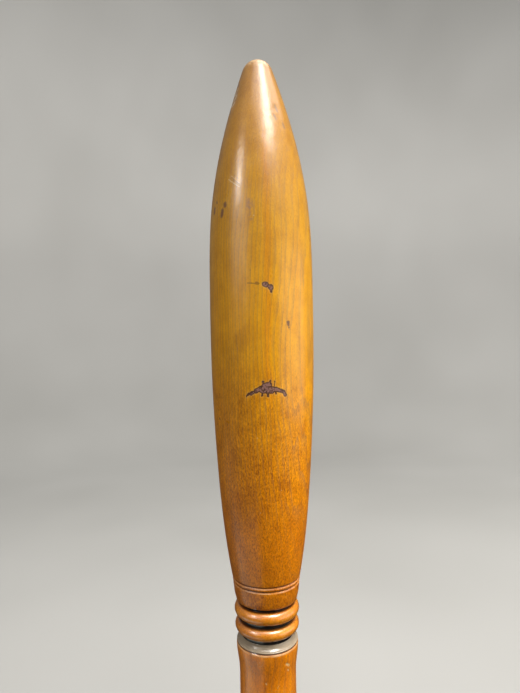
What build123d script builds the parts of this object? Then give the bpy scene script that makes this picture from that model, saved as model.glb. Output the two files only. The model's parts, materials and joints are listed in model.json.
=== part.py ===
from build123d import *
import math
import os

# Turned wooden hand club, built up from separate turned pieces on a common axis.
# Units are millimetres. The origin is the centre of the flat butt face, the club's axis is Z,
# and the rounded tip points up. From the butt upwards the pieces are: pommel, pommel spacer,
# grip with its spigot, lower spacer, lower ring, middle spacer, upper ring, upper spacer, head.

# ---- Driving dimensions ----

glue_line = 0.05          # radial gap round every glued spigot and dowel
end_gap = 1.0             # gap at the blind end of every socket

# Pommel
pommel_height = 24.0
butt_radius = 13.2        # flat face that the club stands on
knob_radius = 17.5        # widest part of the pommel
knob_height = 10.5        # height of that widest part
knob_top = 20.6           # where the knob meets the small step below its collar
knob_top_radius = 14.6
step_radius = 13.9        # floor of that step
step_rise = 0.5
collar_radius = 14.4      # narrow collar above the step
collar_rise = 1.1
collar_crest_radius = 14.5
collar_crest_rise = 2.2
butt_round = 1.2          # rounded edge of the butt
knob_line_offset = 1.1    # the two scribed lines lie this far above and below the widest part
centre_mark_radius = 2.2  # cone left by the lathe centre in the butt
centre_mark_point_radius = 0.2
centre_mark_depth = 1.8

# Spacers: thin blackened washers that form the floors of the turned grooves
spacer_radius = 13.0
spacer_height = 2.0

# Grip
grip_radius = 14.0
grip_length = 129.4       # from the pommel spacer to the lower spacer
grip_foot_radius = 14.8   # rounded shoulder above the pommel spacer
grip_foot_crest = 1.8     # height of that shoulder's widest part
grip_foot_height = 8.0
lip_radius = 15.3         # arris at the top of the grip
lip_drop = 3.9            # from the grip's top face down to the lip
lip_flare = 15.5          # length over which the shaft swells into the lip
lip_land = 1.2            # straight band below the arris
flare_knee_drop = 5.2     # point on the flare, this far below the arris
flare_knee_inset = 0.35
notch_depth = 0.45        # fine line between the arris and the cove
notch_rise = 0.5
cove_edge_drop = 2.7      # the cove's lower edge, below the grip's top face
cove_edge_inset = 0.05
cove_middle_radius = 13.75
cove_middle_drop = 1.7
thong_hole_radius = 3.25
thong_hole_height = 46.0

# Collar rings
upper_ring_height = 6.0
upper_ring_radius = 16.1
lower_ring_height = 5.6
lower_ring_radius = 15.85
ring_face_radius = 13.7   # where the round of a ring starts on its flat faces

# Spigot, its wedge, and the dowel between grip and pommel
spigot_radius = 10.0
spigot_in_head = 40.0
wedge_length = 26.0
wedge_top = 3.0
wedge_bottom = 1.0
dowel_radius = 6.0
dowel_length = 30.0
dowel_in_pommel = 16.0
dowel_chamfer = 0.8

# Head
head_length = 267.0       # from the neck's lower face to the tip
neck_radius = 15.5
neck_round = 0.4          # rounded lower edge of the neck
neck_belly_radius = 16.15
neck_belly_rise = 5.3     # height of the neck's belly above its lower face
shoulder_radius = 16.95   # where the long flank starts, just above the scribed lines
shoulder_rise = 11.8
scribe_rises = (11.1, 9.0)  # heights of the two scribed lines above the neck's lower face
scribe_radii = (16.75, 16.5)
scribe_above = 0.9        # a scribed line's upper flank is short, and its lower one is long
scribe_below = 1.7
scribe_depth = 0.5
flank_start_lean = 0.19   # outward lean of the flank where it leaves the neck, per unit of height
nose_radius = 8.0
nose_angle = 19.0         # slope of the flank to the axis where the round nose begins

flank_stations = [        # (radius, height above the neck's lower face) down the long flank
    (shoulder_radius, shoulder_rise),
    (20.35, 34.5),
    (23.4, 69.5),
    (25.25, 109.5),
    (25.6, 152.0),
    (23.9, 194.5),
    (17.4, 229.5),
]

# ---- Stacked heights ----

pommel_spacer_z = pommel_height
grip_z = pommel_spacer_z + spacer_height
grip_top_z = grip_z + grip_length
lower_ring_z = grip_top_z + spacer_height
middle_spacer_z = lower_ring_z + lower_ring_height
upper_ring_z = middle_spacer_z + spacer_height
upper_spacer_z = upper_ring_z + upper_ring_height
head_z = upper_spacer_z + spacer_height
tip_z = head_z + head_length
spigot_top_z = head_z + spigot_in_head
dowel_z = pommel_height - dowel_in_pommel

spigot_bore = spigot_radius + glue_line
dowel_bore = dowel_radius + glue_line


def scribe_section(surface_radius, height):
    """Section of a V shaped line, drawn out past the surface by as much as it is deep."""
    outside = surface_radius + scribe_depth
    with BuildSketch(Plane.XZ) as section:
        with BuildLine():
            Polyline(
                (surface_radius - scribe_depth, height),
                (outside, height + scribe_above),
                (outside, height - scribe_below),
                close=True,
            )
        make_face()
    return section.sketch


def wedge_section():
    """Tapered section of the saw cut in the spigot and of the wedge that fills it."""
    with BuildSketch(Plane.YZ) as section:
        with BuildLine():
            Polyline(
                (-wedge_bottom / 2, spigot_top_z - wedge_length),
                (wedge_bottom / 2, spigot_top_z - wedge_length),
                (wedge_top / 2, spigot_top_z),
                (-wedge_top / 2, spigot_top_z),
                close=True,
            )
        make_face()
    return section.sketch


def washer(outer_radius, bore_radius, bottom, height):
    """Flat washer round the Z axis."""
    with BuildPart() as blank:
        with BuildSketch(Plane.XY.offset(bottom)):
            Circle(outer_radius)
            Circle(bore_radius, mode=Mode.SUBTRACT)
        extrude(amount=height)
    return blank


def bead_ring(crest_radius, bottom, height):
    """Collar ring with flat faces and a half round outside, bored for the spigot."""
    top = bottom + height
    with BuildPart() as ring:
        with BuildSketch(Plane.XZ):
            with BuildLine():
                ThreePointArc(
                    (ring_face_radius, bottom),
                    (crest_radius, bottom + height / 2),
                    (ring_face_radius, top),
                )
                Polyline(
                    (ring_face_radius, top),
                    (spigot_bore, top),
                    (spigot_bore, bottom),
                    (ring_face_radius, bottom),
                )
            make_face()
        revolve(axis=Axis.Z)
    return ring


# ---- Head: long flank, round nose, neck band with two scribed lines, blind socket ----

nose_slope = math.radians(nose_angle)
nose_centre_z = tip_z - nose_radius
nose_start = (
    nose_radius * math.cos(nose_slope),
    nose_centre_z + nose_radius * math.sin(nose_slope),
)
nose_half_angle = (nose_slope + math.pi / 2) / 2
nose_middle = (
    nose_radius * math.cos(nose_half_angle),
    nose_centre_z + nose_radius * math.sin(nose_half_angle),
)
flank_points = [(radius, head_z + rise) for radius, rise in flank_stations] + [nose_start]
socket_top_z = spigot_top_z + end_gap
neck_round_inset = neck_round * (1 - math.sqrt(0.5))

with BuildPart() as head:
    with BuildSketch(Plane.XZ):
        with BuildLine():
            Spline(
                *flank_points,
                tangents=[(flank_start_lean, 1.0), (-math.sin(nose_slope), math.cos(nose_slope))],
            )
            ThreePointArc(nose_start, nose_middle, (0, tip_z))
            Polyline(
                (0, tip_z),
                (0, socket_top_z),
                (spigot_bore, socket_top_z),
                (spigot_bore, head_z),
                (neck_radius - neck_round, head_z),
            )
            ThreePointArc(
                (neck_radius - neck_round, head_z),
                (neck_radius - neck_round_inset, head_z + neck_round_inset),
                (neck_radius, head_z + neck_round),
            )
            ThreePointArc(
                (neck_radius, head_z + neck_round),
                (neck_belly_radius, head_z + neck_belly_rise),
                flank_points[0],
            )
        make_face()
    revolve(axis=Axis.Z)
    for line_radius, rise in zip(scribe_radii, scribe_rises):
        revolve(scribe_section(line_radius, head_z + rise), axis=Axis.Z, mode=Mode.SUBTRACT)

# ---- Collar: two bead rings between three spacers ----

upper_ring = bead_ring(upper_ring_radius, upper_ring_z, upper_ring_height)
lower_ring = bead_ring(lower_ring_radius, lower_ring_z, lower_ring_height)
upper_spacer = washer(spacer_radius, spigot_bore, upper_spacer_z, spacer_height)
middle_spacer = washer(spacer_radius, spigot_bore, middle_spacer_z, spacer_height)
lower_spacer = washer(spacer_radius, spigot_bore, grip_top_z, spacer_height)

# ---- Grip: straight shaft, rounded foot, flared lip, cove, and the split spigot ----

lip_z = grip_top_z - lip_drop
cove_edge = (lip_radius - cove_edge_inset, grip_top_z - cove_edge_drop)
saw_cut_reach = spigot_radius + end_gap
grip_socket_top_z = dowel_z + dowel_length + end_gap

with BuildPart() as grip:
    with BuildSketch(Plane.XZ):
        with BuildLine():
            Spline(
                (spacer_radius, grip_z),
                (grip_foot_radius, grip_z + grip_foot_crest),
                (grip_radius, grip_z + grip_foot_height),
                tangents=[(1.0, 0.25), (0, 1.0)],
            )
            Line((grip_radius, grip_z + grip_foot_height), (grip_radius, lip_z - lip_flare))
            Spline(
                (grip_radius, lip_z - lip_flare),
                (lip_radius - flare_knee_inset, lip_z - flare_knee_drop),
                (lip_radius, lip_z - lip_land),
                tangents=[(0, 1.0), (0, 1.0)],
            )
            Polyline(
                (lip_radius, lip_z - lip_land),
                (lip_radius, lip_z),
                (lip_radius - notch_depth, lip_z + notch_rise),
                cove_edge,
            )
            ThreePointArc(
                cove_edge,
                (cove_middle_radius, grip_top_z - cove_middle_drop),
                (spacer_radius, grip_top_z),
            )
            Polyline(
                (spacer_radius, grip_top_z),
                (spigot_radius, grip_top_z),
                (spigot_radius, spigot_top_z),
                (0, spigot_top_z),
                (0, grip_socket_top_z),
                (dowel_bore, grip_socket_top_z),
                (dowel_bore, grip_z),
                (spacer_radius, grip_z),
            )
        make_face()
    revolve(axis=Axis.Z)
    # Hole for a wrist thong, straight through the shaft from side to side
    with BuildSketch(Plane.YZ.offset(-2 * grip_radius)):
        with Locations((0, thong_hole_height)):
            Circle(thong_hole_radius)
    extrude(amount=4 * grip_radius, mode=Mode.SUBTRACT)
    # Saw cut in the spigot's end, as wide as the driven wedge
    extrude(wedge_section(), amount=saw_cut_reach, both=True, mode=Mode.SUBTRACT)

# ---- Wedge that spreads the spigot inside the head ----

with BuildPart() as spigot_wedge:
    with BuildSketch(Plane.XY.offset(spigot_top_z - wedge_length)):
        Circle(spigot_radius)
    extrude(amount=wedge_length)
    extrude(wedge_section(), amount=saw_cut_reach, both=True, mode=Mode.INTERSECT)

# ---- Pommel: bun shaped knob with two scribed lines, waist and lathe centre mark ----

with BuildPart() as pommel:
    with BuildSketch(Plane.XZ):
        with BuildLine():
            Line((0, 0), (butt_radius, 0))
            ThreePointArc(
                (butt_radius, 0),
                (knob_radius, knob_height),
                (knob_top_radius, knob_top),
            )
            Polyline(
                (knob_top_radius, knob_top),
                (step_radius, knob_top + step_rise),
                (collar_radius, knob_top + collar_rise),
            )
            ThreePointArc(
                (collar_radius, knob_top + collar_rise),
                (collar_crest_radius, knob_top + collar_crest_rise),
                (spacer_radius, pommel_height),
            )
            Polyline(
                (spacer_radius, pommel_height),
                (dowel_bore, pommel_height),
                (dowel_bore, dowel_z - end_gap),
                (0, dowel_z - end_gap),
                (0, 0),
            )
        make_face()
    revolve(axis=Axis.Z)
    fillet(pommel.edges().filter_by(GeomType.CIRCLE).group_by(Axis.Z)[0], radius=butt_round)
    for line_z in (knob_height - knob_line_offset, knob_height + knob_line_offset):
        revolve(scribe_section(knob_radius, line_z), axis=Axis.Z, mode=Mode.SUBTRACT)
    with Locations((0, 0, centre_mark_depth / 2)):
        Cone(
            centre_mark_radius,
            centre_mark_point_radius,
            centre_mark_depth,
            mode=Mode.SUBTRACT,
        )

pommel_spacer = washer(spacer_radius, dowel_bore, pommel_spacer_z, spacer_height)

with BuildPart() as pommel_dowel:
    with BuildSketch(Plane.XY.offset(dowel_z)):
        Circle(dowel_radius)
    extrude(amount=dowel_length)
    chamfer(pommel_dowel.edges().filter_by(GeomType.CIRCLE), length=dowel_chamfer)

# ---- Write every piece to its own file ----

pieces = {
    "head": head,
    "collar_spacer_upper": upper_spacer,
    "collar_ring_upper": upper_ring,
    "collar_spacer_middle": middle_spacer,
    "collar_ring_lower": lower_ring,
    "collar_spacer_lower": lower_spacer,
    "grip": grip,
    "spigot_wedge": spigot_wedge,
    "pommel_spacer": pommel_spacer,
    "pommel": pommel,
    "pommel_dowel": pommel_dowel,
}

os.makedirs("parts", exist_ok=True)
for piece_name, piece in pieces.items():
    piece.part.label = piece_name
    export_step(piece.part, f"parts/{piece_name}.step")
    print(piece_name, "volume", round(piece.part.volume), "mm3")
print("overall length", round(tip_z, 2))
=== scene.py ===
"""Varnished, lathe-turned wooden hand club, standing on its butt in a plain pale studio."""

import json
import math

import bmesh
import bpy
import numpy as np
from mathutils import Matrix, Vector

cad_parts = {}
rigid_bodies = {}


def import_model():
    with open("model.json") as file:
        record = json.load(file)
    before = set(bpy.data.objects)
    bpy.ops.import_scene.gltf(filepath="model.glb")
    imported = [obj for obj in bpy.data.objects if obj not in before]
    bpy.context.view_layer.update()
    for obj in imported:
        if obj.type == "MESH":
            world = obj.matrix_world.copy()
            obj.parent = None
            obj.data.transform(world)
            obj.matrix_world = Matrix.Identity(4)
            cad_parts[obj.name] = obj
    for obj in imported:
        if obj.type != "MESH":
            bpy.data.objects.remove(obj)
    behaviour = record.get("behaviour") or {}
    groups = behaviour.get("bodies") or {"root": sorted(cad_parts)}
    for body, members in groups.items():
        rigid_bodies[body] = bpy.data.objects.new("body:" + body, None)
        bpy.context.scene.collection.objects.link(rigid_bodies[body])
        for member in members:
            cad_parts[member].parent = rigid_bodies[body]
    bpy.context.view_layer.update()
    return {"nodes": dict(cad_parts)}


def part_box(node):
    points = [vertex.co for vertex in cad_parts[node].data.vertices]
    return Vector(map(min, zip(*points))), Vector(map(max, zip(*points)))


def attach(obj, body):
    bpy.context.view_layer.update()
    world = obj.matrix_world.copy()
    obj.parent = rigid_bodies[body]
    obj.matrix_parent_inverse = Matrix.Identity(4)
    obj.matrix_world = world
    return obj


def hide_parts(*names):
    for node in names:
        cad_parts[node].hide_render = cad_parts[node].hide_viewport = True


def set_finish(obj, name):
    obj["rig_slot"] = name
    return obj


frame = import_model()
MM = 0.001

# ---- sizes read from the frame

head_low, head_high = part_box("head")
grip_low, grip_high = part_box("grip")
pommel_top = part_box("pommel")[1].z / MM
collar_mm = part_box("collar_spacer_lower")[0].z / MM    # the grip's shoulder, under the collar
neck_mm = head_low.z / MM
tip_mm = head_high.z / MM
grip_foot = grip_low.z / MM
grip_top = grip_high.z / MM
head_length = (head_high.z - head_low.z) / MM

SHARP_CORNER = math.radians(9)       # an outline that turns by more than this has an edge there
SMALLEST_STEP = 0.02                 # in mm, between two edges of an outline
SHOULDER = 0.3                       # two radii further apart than this, in mm, are a flat shoulder
OUTWARD = 0.02                       # how far a face leans outward to be part of the outside
ON_AXIS = 0.01                       # radii below this, in mm, are a point on the axis
SAME_HEIGHT = 0.01                   # heights closer than this, in mm, are equal


# ---- repeatable noise for the meshes

def lattice_value(ix, iy, iz, seed):
    """A fixed pseudo-random number from 0 to 1 for each whole-numbered lattice point."""
    mixed = (ix * 73856093) ^ (iy * 19349663) ^ (iz * 83492791) ^ (seed * 2654435761)
    mixed = (mixed ^ (mixed >> 13)) * 1274126177
    return ((mixed ^ (mixed >> 16)) & 0xFFFF) / 65535.0


def smooth_noise(points, cell, seed):
    """Value noise from -1 to 1 at points (N, 3), with lattice cells of the given sizes."""
    scaled = points / np.array(cell)
    whole = np.floor(scaled).astype(np.int64)
    part = scaled - whole
    part = part * part * (3 - 2 * part)
    total = np.zeros(len(points))
    for dx in (0, 1):
        for dy in (0, 1):
            for dz in (0, 1):
                weight = (
                    np.where(dx, part[:, 0], 1 - part[:, 0])
                    * np.where(dy, part[:, 1], 1 - part[:, 1])
                    * np.where(dz, part[:, 2], 1 - part[:, 2])
                )
                total += weight * lattice_value(
                    whole[:, 0] + dx, whole[:, 1] + dy, whole[:, 2] + dz, seed
                )
    return total * 2 - 1


# ---- turned outlines from the CAD mesh

def outside_points(node):
    """(radius, height) points of a turned node's outside, lowest first, from its own mesh."""
    mesh = frame["nodes"][node].data
    corners = np.zeros(len(mesh.vertices) * 3)
    mesh.vertices.foreach_get("co", corners)
    corners = corners.reshape(-1, 3)
    facing_out = np.zeros(len(corners), bool)
    for face in mesh.polygons:
        centre = face.center
        radial = Vector((centre.x, centre.y, 0))
        if radial.length > 0 and face.normal.dot(radial.normalized()) > OUTWARD:
            facing_out[list(face.vertices)] = True
    outer = corners[facing_out]
    heights = np.round(outer[:, 2] / MM, 3)
    radii = np.round(np.hypot(outer[:, 0], outer[:, 1]) / MM, 3)
    chain = []
    for height in np.unique(heights):
        found = radii[heights == height]
        ends = [found.max()]
        if found.max() - found.min() > SHOULDER:
            ends.append(found.min())
        if chain and len(ends) > 1 and abs(ends[1] - chain[-1][0]) < abs(ends[0] - chain[-1][0]):
            ends.reverse()
        chain += [(radius, height) for radius in ends]
    return chain


def even_rows(chain, step):
    """The chain with rows about one step apart: corners stay, and long gaps take a smooth curve."""
    points = np.array(chain)
    along = np.diff(points, axis=0)
    headings = np.arctan2(along[:, 1], along[:, 0])
    turns = np.abs((np.diff(headings) + math.pi) % (2 * math.pi) - math.pi)
    kept = [0]
    for i in range(1, len(points) - 1):
        from_last = np.hypot(*(points[i] - points[kept[-1]]))
        if from_last >= step or (turns[i - 1] > SHARP_CORNER and from_last > SMALLEST_STEP):
            kept.append(i)
    kept.append(len(points) - 1)
    sharp = {i for i in kept[1:-1] if turns[i - 1] > SHARP_CORNER}
    knots = points[kept]
    rows = [tuple(knots[0])]
    for k in range(len(kept) - 1):
        start, end = knots[k], knots[k + 1]
        span = np.hypot(*(end - start))
        pieces = max(1, int(round(span / step)))
        chord = (end - start) / span
        before, after = chord, chord
        if k > 0 and kept[k] not in sharp:
            before = (end - knots[k - 1]) / np.hypot(*(end - knots[k - 1]))
        if k + 2 < len(kept) and kept[k + 1] not in sharp:
            after = (knots[k + 2] - start) / np.hypot(*(knots[k + 2] - start))
        for piece in range(1, pieces + 1):
            t = piece / pieces
            place = (
                (2 * t**3 - 3 * t**2 + 1) * start
                + (t**3 - 2 * t**2 + t) * span * before
                + (3 * t**2 - 2 * t**3) * end
                + (t**3 - t**2) * span * after
            )
            rows.append(tuple(place))
    return rows


def no_relief(around, height, radius):
    return 0 * radius


def turned_mesh(name, rows, segments, relief=no_relief, closed_loop=False):
    """Mesh turned round Z from (radius, height) rows in mm, pushed out or in by relief, in mm."""
    points = np.array(rows)
    count = len(points)
    angles = np.linspace(0, 2 * math.pi, segments, endpoint=False)
    if closed_loop:
        along = np.roll(points, -1, axis=0) - np.roll(points, 1, axis=0)
    else:
        along = np.gradient(points, axis=0)
    along /= np.maximum(np.hypot(along[:, 0], along[:, 1]), 1e-9)[:, None]
    outward = np.stack([along[:, 1], -along[:, 0]], axis=1)
    around, radius = np.meshgrid(angles, points[:, 0])
    height = np.repeat(points[:, 1][:, None], segments, axis=1)
    push = relief(around.ravel(), height.ravel(), radius.ravel()).reshape(count, segments)
    push = np.where(points[:, 0][:, None] > ON_AXIS, push, 0)
    radius = radius + push * outward[:, 0][:, None]
    height = height + push * outward[:, 1][:, None]
    # Angle 0 is the front, facing -Y, and angles grow towards +X
    grid = np.stack([radius * np.sin(around), -radius * np.cos(around), height], axis=-1) * MM
    vertices = []
    ring_index = []
    for row in range(count):
        if points[row, 0] <= ON_AXIS:
            ring_index.append([len(vertices)] * segments)
            vertices.append(tuple(grid[row, 0]))
        else:
            ring_index.append(list(range(len(vertices), len(vertices) + segments)))
            vertices += [tuple(v) for v in grid[row]]
    faces = []
    last = count if closed_loop else count - 1
    for row in range(last):
        lower, upper = ring_index[row], ring_index[(row + 1) % count]
        for i in range(segments):
            j = (i + 1) % segments
            corners = [lower[i], lower[j], upper[j], upper[i]]
            unique = list(dict.fromkeys(corners))
            if len(unique) > 2:
                faces.append(unique)
    mesh = bpy.data.meshes.new(name)
    mesh.from_pydata(vertices, [], faces)
    mesh.shade_smooth()
    mesh.update()
    return mesh


def rounded_corners(rows, reach):
    """The rows with each sharp corner eased over the given reach to both sides, in mm."""
    points = np.array(rows)
    eased = [tuple(points[0])]
    for i in range(1, len(points) - 1):
        before, after = points[i] - points[i - 1], points[i + 1] - points[i]
        size_before, size_after = np.hypot(*before), np.hypot(*after)
        turn = math.atan2(
            before[0] * after[1] - before[1] * after[0],
            before[0] * after[0] + before[1] * after[1],
        )
        if abs(turn) < SHARP_CORNER:
            eased.append(tuple(points[i]))
            continue
        start = points[i] - before / size_before * min(reach, 0.45 * size_before)
        end = points[i] + after / size_after * min(reach, 0.45 * size_after)
        for t in (0.0, 0.25, 0.5, 0.75, 1.0):
            eased.append(tuple((1 - t) ** 2 * start + 2 * t * (1 - t) * points[i] + t * t * end))
    eased.append(tuple(points[-1]))
    return eased


# ---- sizes of the hidden joints, in mm

SPIGOT_RADIUS = 10.0
SPIGOT_BORE = 10.05
DOWEL_BORE = 6.05
END_GAP = 1.0
SOCKET_TOP = grip_top + END_GAP
DOWEL_SOCKET_TOP = 39.0
DOWEL_SOCKET_BOTTOM = 7.0
CENTRE_MARK_RADIUS = 2.2
CENTRE_MARK_DEPTH = 1.8
THONG_HOLE_RADIUS = 3.25
THONG_HOLE_HEIGHT = 46.0
WEDGE_LENGTH = 26.0
WEDGE_TOP = 3.0
WEDGE_BOTTOM = 1.0
NEAR_BORE = 0.5                      # the wear of the outside is left off this close to a bore
SCRIBE_HEIGHTS = (184.1, 182.0)      # the two scribed lines round the neck
POMMEL_SCRIBES = (9.4, 11.6)
LIP_DROP = 3.9                       # from the grip's shoulder down to the lip's lower edge

# For each kind of piece: outline row step, edge rounding, segments round the axis
HEAD_STEP, HEAD_EDGE, HEAD_SEGMENTS = 1.0, 0.16, 280
RING_STEP, RING_EDGE, RING_SEGMENTS = 0.3, 0.12, 220
GRIP_STEP, GRIP_EDGE, GRIP_SEGMENTS = 0.9, 0.14, 200
POMMEL_STEP, POMMEL_EDGE, POMMEL_SEGMENTS = 0.7, 0.16, 220
SPACER_STEPS, SPACER_HOLLOW, SPACER_SEGMENTS = 8, 0.12, 160
THONG_SEGMENTS = 48


# ---- small dents and wear, seeded

def dent_field(spots):
    """Depth in mm at every point of a surface, from (azimuth, height, reach, depth) dents."""

    def depth(around, height, radius):
        total = np.zeros(len(around))
        for azimuth, centre, reach, deepest in spots:
            off = (around - math.radians(azimuth) + math.pi) % (2 * math.pi) - math.pi
            distance = np.hypot(off * radius, height - centre) / reach
            near = distance < 3
            total[near] += deepest * np.exp(-(distance[near] ** 2))
        return total

    return depth


def scattered_dents(count, low, high, seed):
    """Small knocks spread over a turned piece between two heights in mm."""
    chance = np.random.default_rng(seed)
    return [
        (
            chance.uniform(0, 360),
            chance.uniform(low, high),
            chance.uniform(0.9, 2.6),
            chance.uniform(0.03, 0.12),
        )
        for _ in range(count)
    ]


def surface_relief(dents, wave, seed, oval=0.0, chip_heights=(), chip_depth=0.0):
    """How far a turned surface stands proud of its outline: waves, ovality, dents and chips."""
    dent_depth = dent_field(dents)

    def push(around, height, radius):
        place = np.stack([radius * np.sin(around), -radius * np.cos(around), height], axis=1)
        total = wave * smooth_noise(place, (7.0, 7.0, 12.0), seed)
        total += 0.4 * wave * smooth_noise(place, (2.2, 2.2, 3.5), seed + 1)
        total += oval * np.cos(2 * (around - 0.6))
        total -= dent_depth(around, height, radius)
        for edge in chip_heights:
            close = np.exp(-(((height - edge) / 0.35) ** 2))
            rough = np.clip(smooth_noise(place, (1.3, 1.3, 2.5), seed + 2) - 0.25, 0, 1)
            total -= chip_depth * close * rough
        return total

    return push


def only_outside(push, bore):
    """The same relief, left off the bore and the axis."""

    def masked(around, height, radius):
        return np.where(radius > bore, push(around, height, radius), 0.0)

    return masked


def add_piece(name, mesh, node, slot_name):
    """A turned mesh that stands for a CAD node and rides with it."""
    piece = bpy.data.objects.new(name, mesh)
    bpy.context.scene.collection.objects.link(piece)
    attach(piece, "root")
    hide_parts(node)
    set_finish(piece, slot_name)
    return piece


def cut_away(piece, cutter_mesh):
    """Takes a closed cutter mesh out of a piece, for good."""
    cutter = bpy.data.objects.new("cutter", cutter_mesh)
    bpy.context.scene.collection.objects.link(cutter)
    cut = piece.modifiers.new("cut", "BOOLEAN")
    cut.operation = "DIFFERENCE"
    cut.solver = "EXACT"
    cut.object = cutter
    bpy.context.view_layer.update()
    result = bpy.data.meshes.new_from_object(
        piece.evaluated_get(bpy.context.evaluated_depsgraph_get())
    )
    piece.modifiers.remove(cut)
    result.name = piece.data.name + "_cut"
    piece.data = result
    bpy.data.objects.remove(cutter)
    piece.data.shade_smooth()


# ---- head

# Dents are (azimuth in degrees, height, reach, depth), in mm
head_dents = [
    (33.0, 411.0, 1.6, 0.10),
    (27.0, 405.5, 1.2, 0.07),
    (38.0, 402.0, 1.4, 0.06),
    (-64.0, 419.0, 2.6, 0.22),
    (-66.0, 423.5, 1.6, 0.16),
    (-58.0, 414.5, 1.8, 0.10),
    (-80.0, 402.0, 1.1, 0.15),
    (12.0, 383.0, 1.5, 0.04),
    (118.0, 352.0, 2.2, 0.12),
    (160.0, 371.0, 1.8, 0.10),
    (201.0, 333.0, 2.8, 0.12),
    (243.0, 391.0, 1.9, 0.12),
    (-14.0, 301.0, 1.2, 0.04),
    (41.0, 247.0, 1.4, 0.05),
]
head_outside = rounded_corners(even_rows(outside_points("head"), HEAD_STEP), HEAD_EDGE)
head_outside[-1] = (0.0, tip_mm)
head_rows = [(0.0, SOCKET_TOP), (SPIGOT_BORE, SOCKET_TOP), (SPIGOT_BORE, neck_mm)] + head_outside
add_piece(
    "turned_head",
    turned_mesh(
        "turned_head",
        head_rows,
        HEAD_SEGMENTS,
        only_outside(
            surface_relief(
                head_dents + scattered_dents(46, 200, 434, seed=11),
                wave=0.03,
                oval=0.05,
                seed=3,
                chip_heights=(neck_mm + 0.2,),
                chip_depth=0.25,
            ),
            SPIGOT_BORE + NEAR_BORE,
        ),
    ),
    "head",
    "head_wood",
)

# ---- collar rings and spacers

for ring_name, ring_seed in (("collar_ring_upper", 21), ("collar_ring_lower", 22)):
    ring_outside = rounded_corners(even_rows(outside_points(ring_name), RING_STEP), RING_EDGE)
    bottom, top = ring_outside[0][1], ring_outside[-1][1]
    add_piece(
        "turned_" + ring_name,
        turned_mesh(
            "turned_" + ring_name,
            ring_outside + [(SPIGOT_BORE, top), (SPIGOT_BORE, bottom)],
            RING_SEGMENTS,
            only_outside(
                surface_relief(
                    scattered_dents(9, bottom, top, seed=ring_seed), wave=0.02, seed=ring_seed
                ),
                SPIGOT_BORE + NEAR_BORE,
            ),
            closed_loop=True,
        ),
        ring_name,
        "ring_wood",
    )

spacer_bores = {
    "collar_spacer_upper": SPIGOT_BORE,
    "collar_spacer_middle": SPIGOT_BORE,
    "collar_spacer_lower": SPIGOT_BORE,
    "pommel_spacer": DOWEL_BORE,
}
for number, (spacer_name, bore) in enumerate(spacer_bores.items()):
    low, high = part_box(spacer_name)
    edge, bottom, top = high.x / MM, low.z / MM, high.z / MM
    # The washer's edge is turned very slightly hollow
    rim = [
        (
            edge - SPACER_HOLLOW * math.sin(math.pi * step / SPACER_STEPS),
            bottom + (top - bottom) * step / SPACER_STEPS,
        )
        for step in range(SPACER_STEPS + 1)
    ]
    add_piece(
        "turned_" + spacer_name,
        turned_mesh(
            "turned_" + spacer_name,
            rim + [(bore, top), (bore, bottom)],
            SPACER_SEGMENTS,
            only_outside(surface_relief([], wave=0.02, seed=31 + number), bore + NEAR_BORE),
            closed_loop=True,
        ),
        spacer_name,
        "black_spacer",
    )

# ---- grip, with its thong hole and saw cut

grip_chain = [p for p in outside_points("grip") if p[1] <= collar_mm + SAME_HEIGHT]
grip_outside = rounded_corners(even_rows(grip_chain, GRIP_STEP), GRIP_EDGE)
grip_rows = (
    [(0.0, DOWEL_SOCKET_TOP), (DOWEL_BORE, DOWEL_SOCKET_TOP), (DOWEL_BORE, grip_foot)]
    + grip_outside
    + [(SPIGOT_RADIUS, collar_mm), (SPIGOT_RADIUS, grip_top), (0.0, grip_top)]
)
grip_dents = [
    (36.0, 145.5, 1.0, 0.16),
    (44.0, 141.5, 1.3, 0.08),
    (-5.0, 137.8, 0.9, 0.10),
    (75.0, 96.0, 2.4, 0.10),
    (150.0, 60.0, 2.0, 0.12),
    (260.0, 110.0, 2.6, 0.10),
]
grip = add_piece(
    "turned_grip",
    turned_mesh(
        "turned_grip",
        grip_rows,
        GRIP_SEGMENTS,
        only_outside(
            surface_relief(
                grip_dents + scattered_dents(26, 34, 146, seed=41),
                wave=0.035,
                oval=0.04,
                seed=42,
            ),
            SPIGOT_RADIUS + NEAR_BORE,
        ),
    ),
    "grip",
    "grip_wood",
)

# How much wider the thong hole is than its bore, by distance from the club's axis
THONG_MOUTH = ((3.6, 20.0), (0.62, 14.0), (0.28, 13.5), (0.06, 13.0), (0.0, 12.0))
THONG_END = THONG_MOUTH[0][1]
near_mouth = [(THONG_HOLE_RADIUS + flare, -away) for flare, away in THONG_MOUTH]
far_mouth = [(radius, -height) for radius, height in reversed(near_mouth)]
thong_rows = [(0.0, -THONG_END)] + near_mouth + far_mouth + [(0.0, THONG_END)]
thong_cutter = turned_mesh("thong_cutter", thong_rows, THONG_SEGMENTS)
for corner_point in thong_cutter.vertices:
    along, across = corner_point.co.z, corner_point.co.x
    corner_point.co.x, corner_point.co.z = along, THONG_HOLE_HEIGHT * MM - across
cut_away(grip, thong_cutter)

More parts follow.
